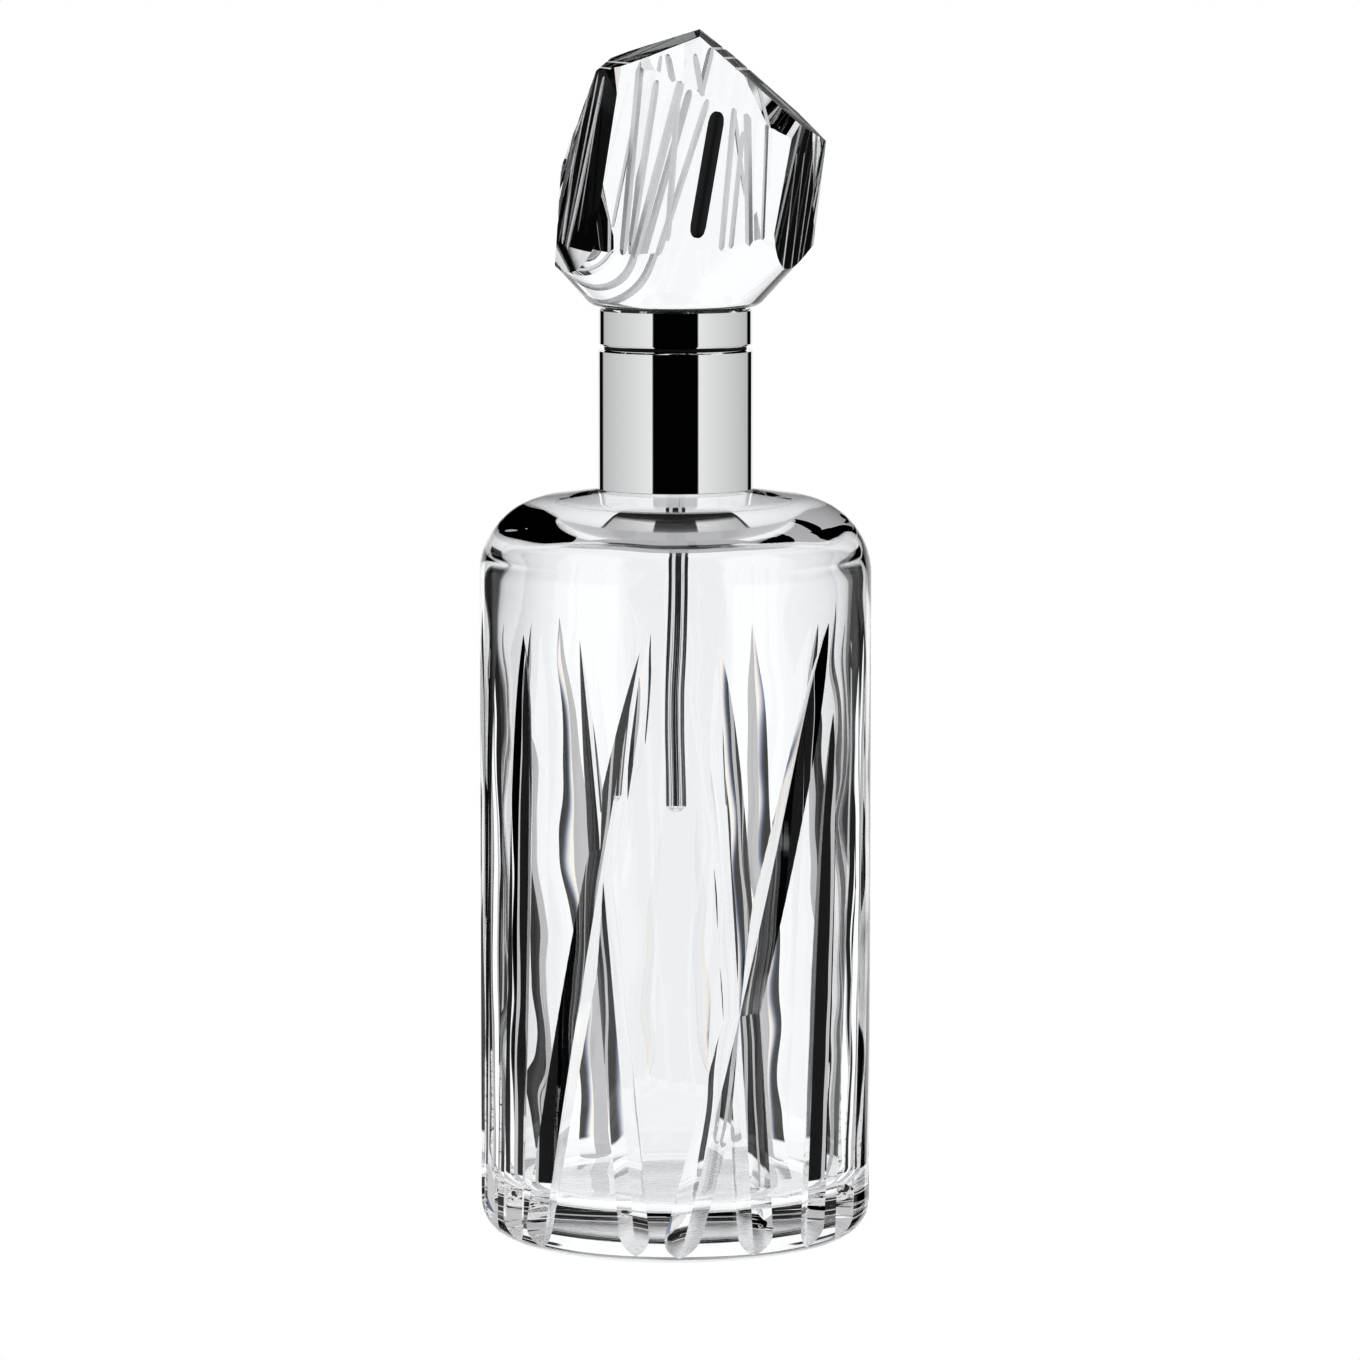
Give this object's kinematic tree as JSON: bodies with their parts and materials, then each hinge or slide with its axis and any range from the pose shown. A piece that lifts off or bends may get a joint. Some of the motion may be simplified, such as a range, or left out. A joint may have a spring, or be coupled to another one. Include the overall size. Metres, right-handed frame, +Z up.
{
  "type": "cut crystal decanter",
  "caption": "Cylindrical cut crystal decanter with leaning mitre cuts, a polished metal collar and a lift-out stopper with a faceted crystal knob and dip rod.",
  "frame": {"origin": "on the table, under the bottle's axis: bottom centre of the bounding box", "axes": "+Z up along the bottle's axis, -Y towards the side with the two long crossing cuts, +X to the right seen from there"},
  "size_m": [0.095, 0.095, 0.2928],
  "materials": {
    "cut_crystal": "polished full-lead crystal, clear and colourless",
    "polished_metal": "mirror-polished plate",
    "clear_cement": "clear setting cement",
    "liner_plastic": "satin moulded",
    "plug_plastic": "satin turned",
    "black_rubber": "matt"
  },
  "bodies": {
    "bottle": {"crystal_body": "cut_crystal", "neck_sleeve": "polished_metal", "neck_cement": "clear_cement", "neck_liner": "liner_plastic"},
    "seals": {"o_ring_upper": "black_rubber", "o_ring_lower": "black_rubber"},
    "stopper": {"stopper_plug": "plug_plastic", "seal_washer": "black_rubber", "stopper_ring": "polished_metal", "knob_bond": "clear_cement", "crystal_knob": "cut_crystal", "rod_ferrule": "polished_metal", "dip_rod": "polished_metal"}
  },
  "joints": [
    {"name": "stopper_lift", "type": "slide", "parent": "bottle", "child": "seals", "axis": [0, 0, 1], "range_m": [0, 0.125]},
    {"name": "stopper_twist", "type": "hinge", "parent": "seals", "child": "stopper", "pos_m": [0, 0, 0.208], "axis": [0, 0, 1], "continuous": true}
  ]
}
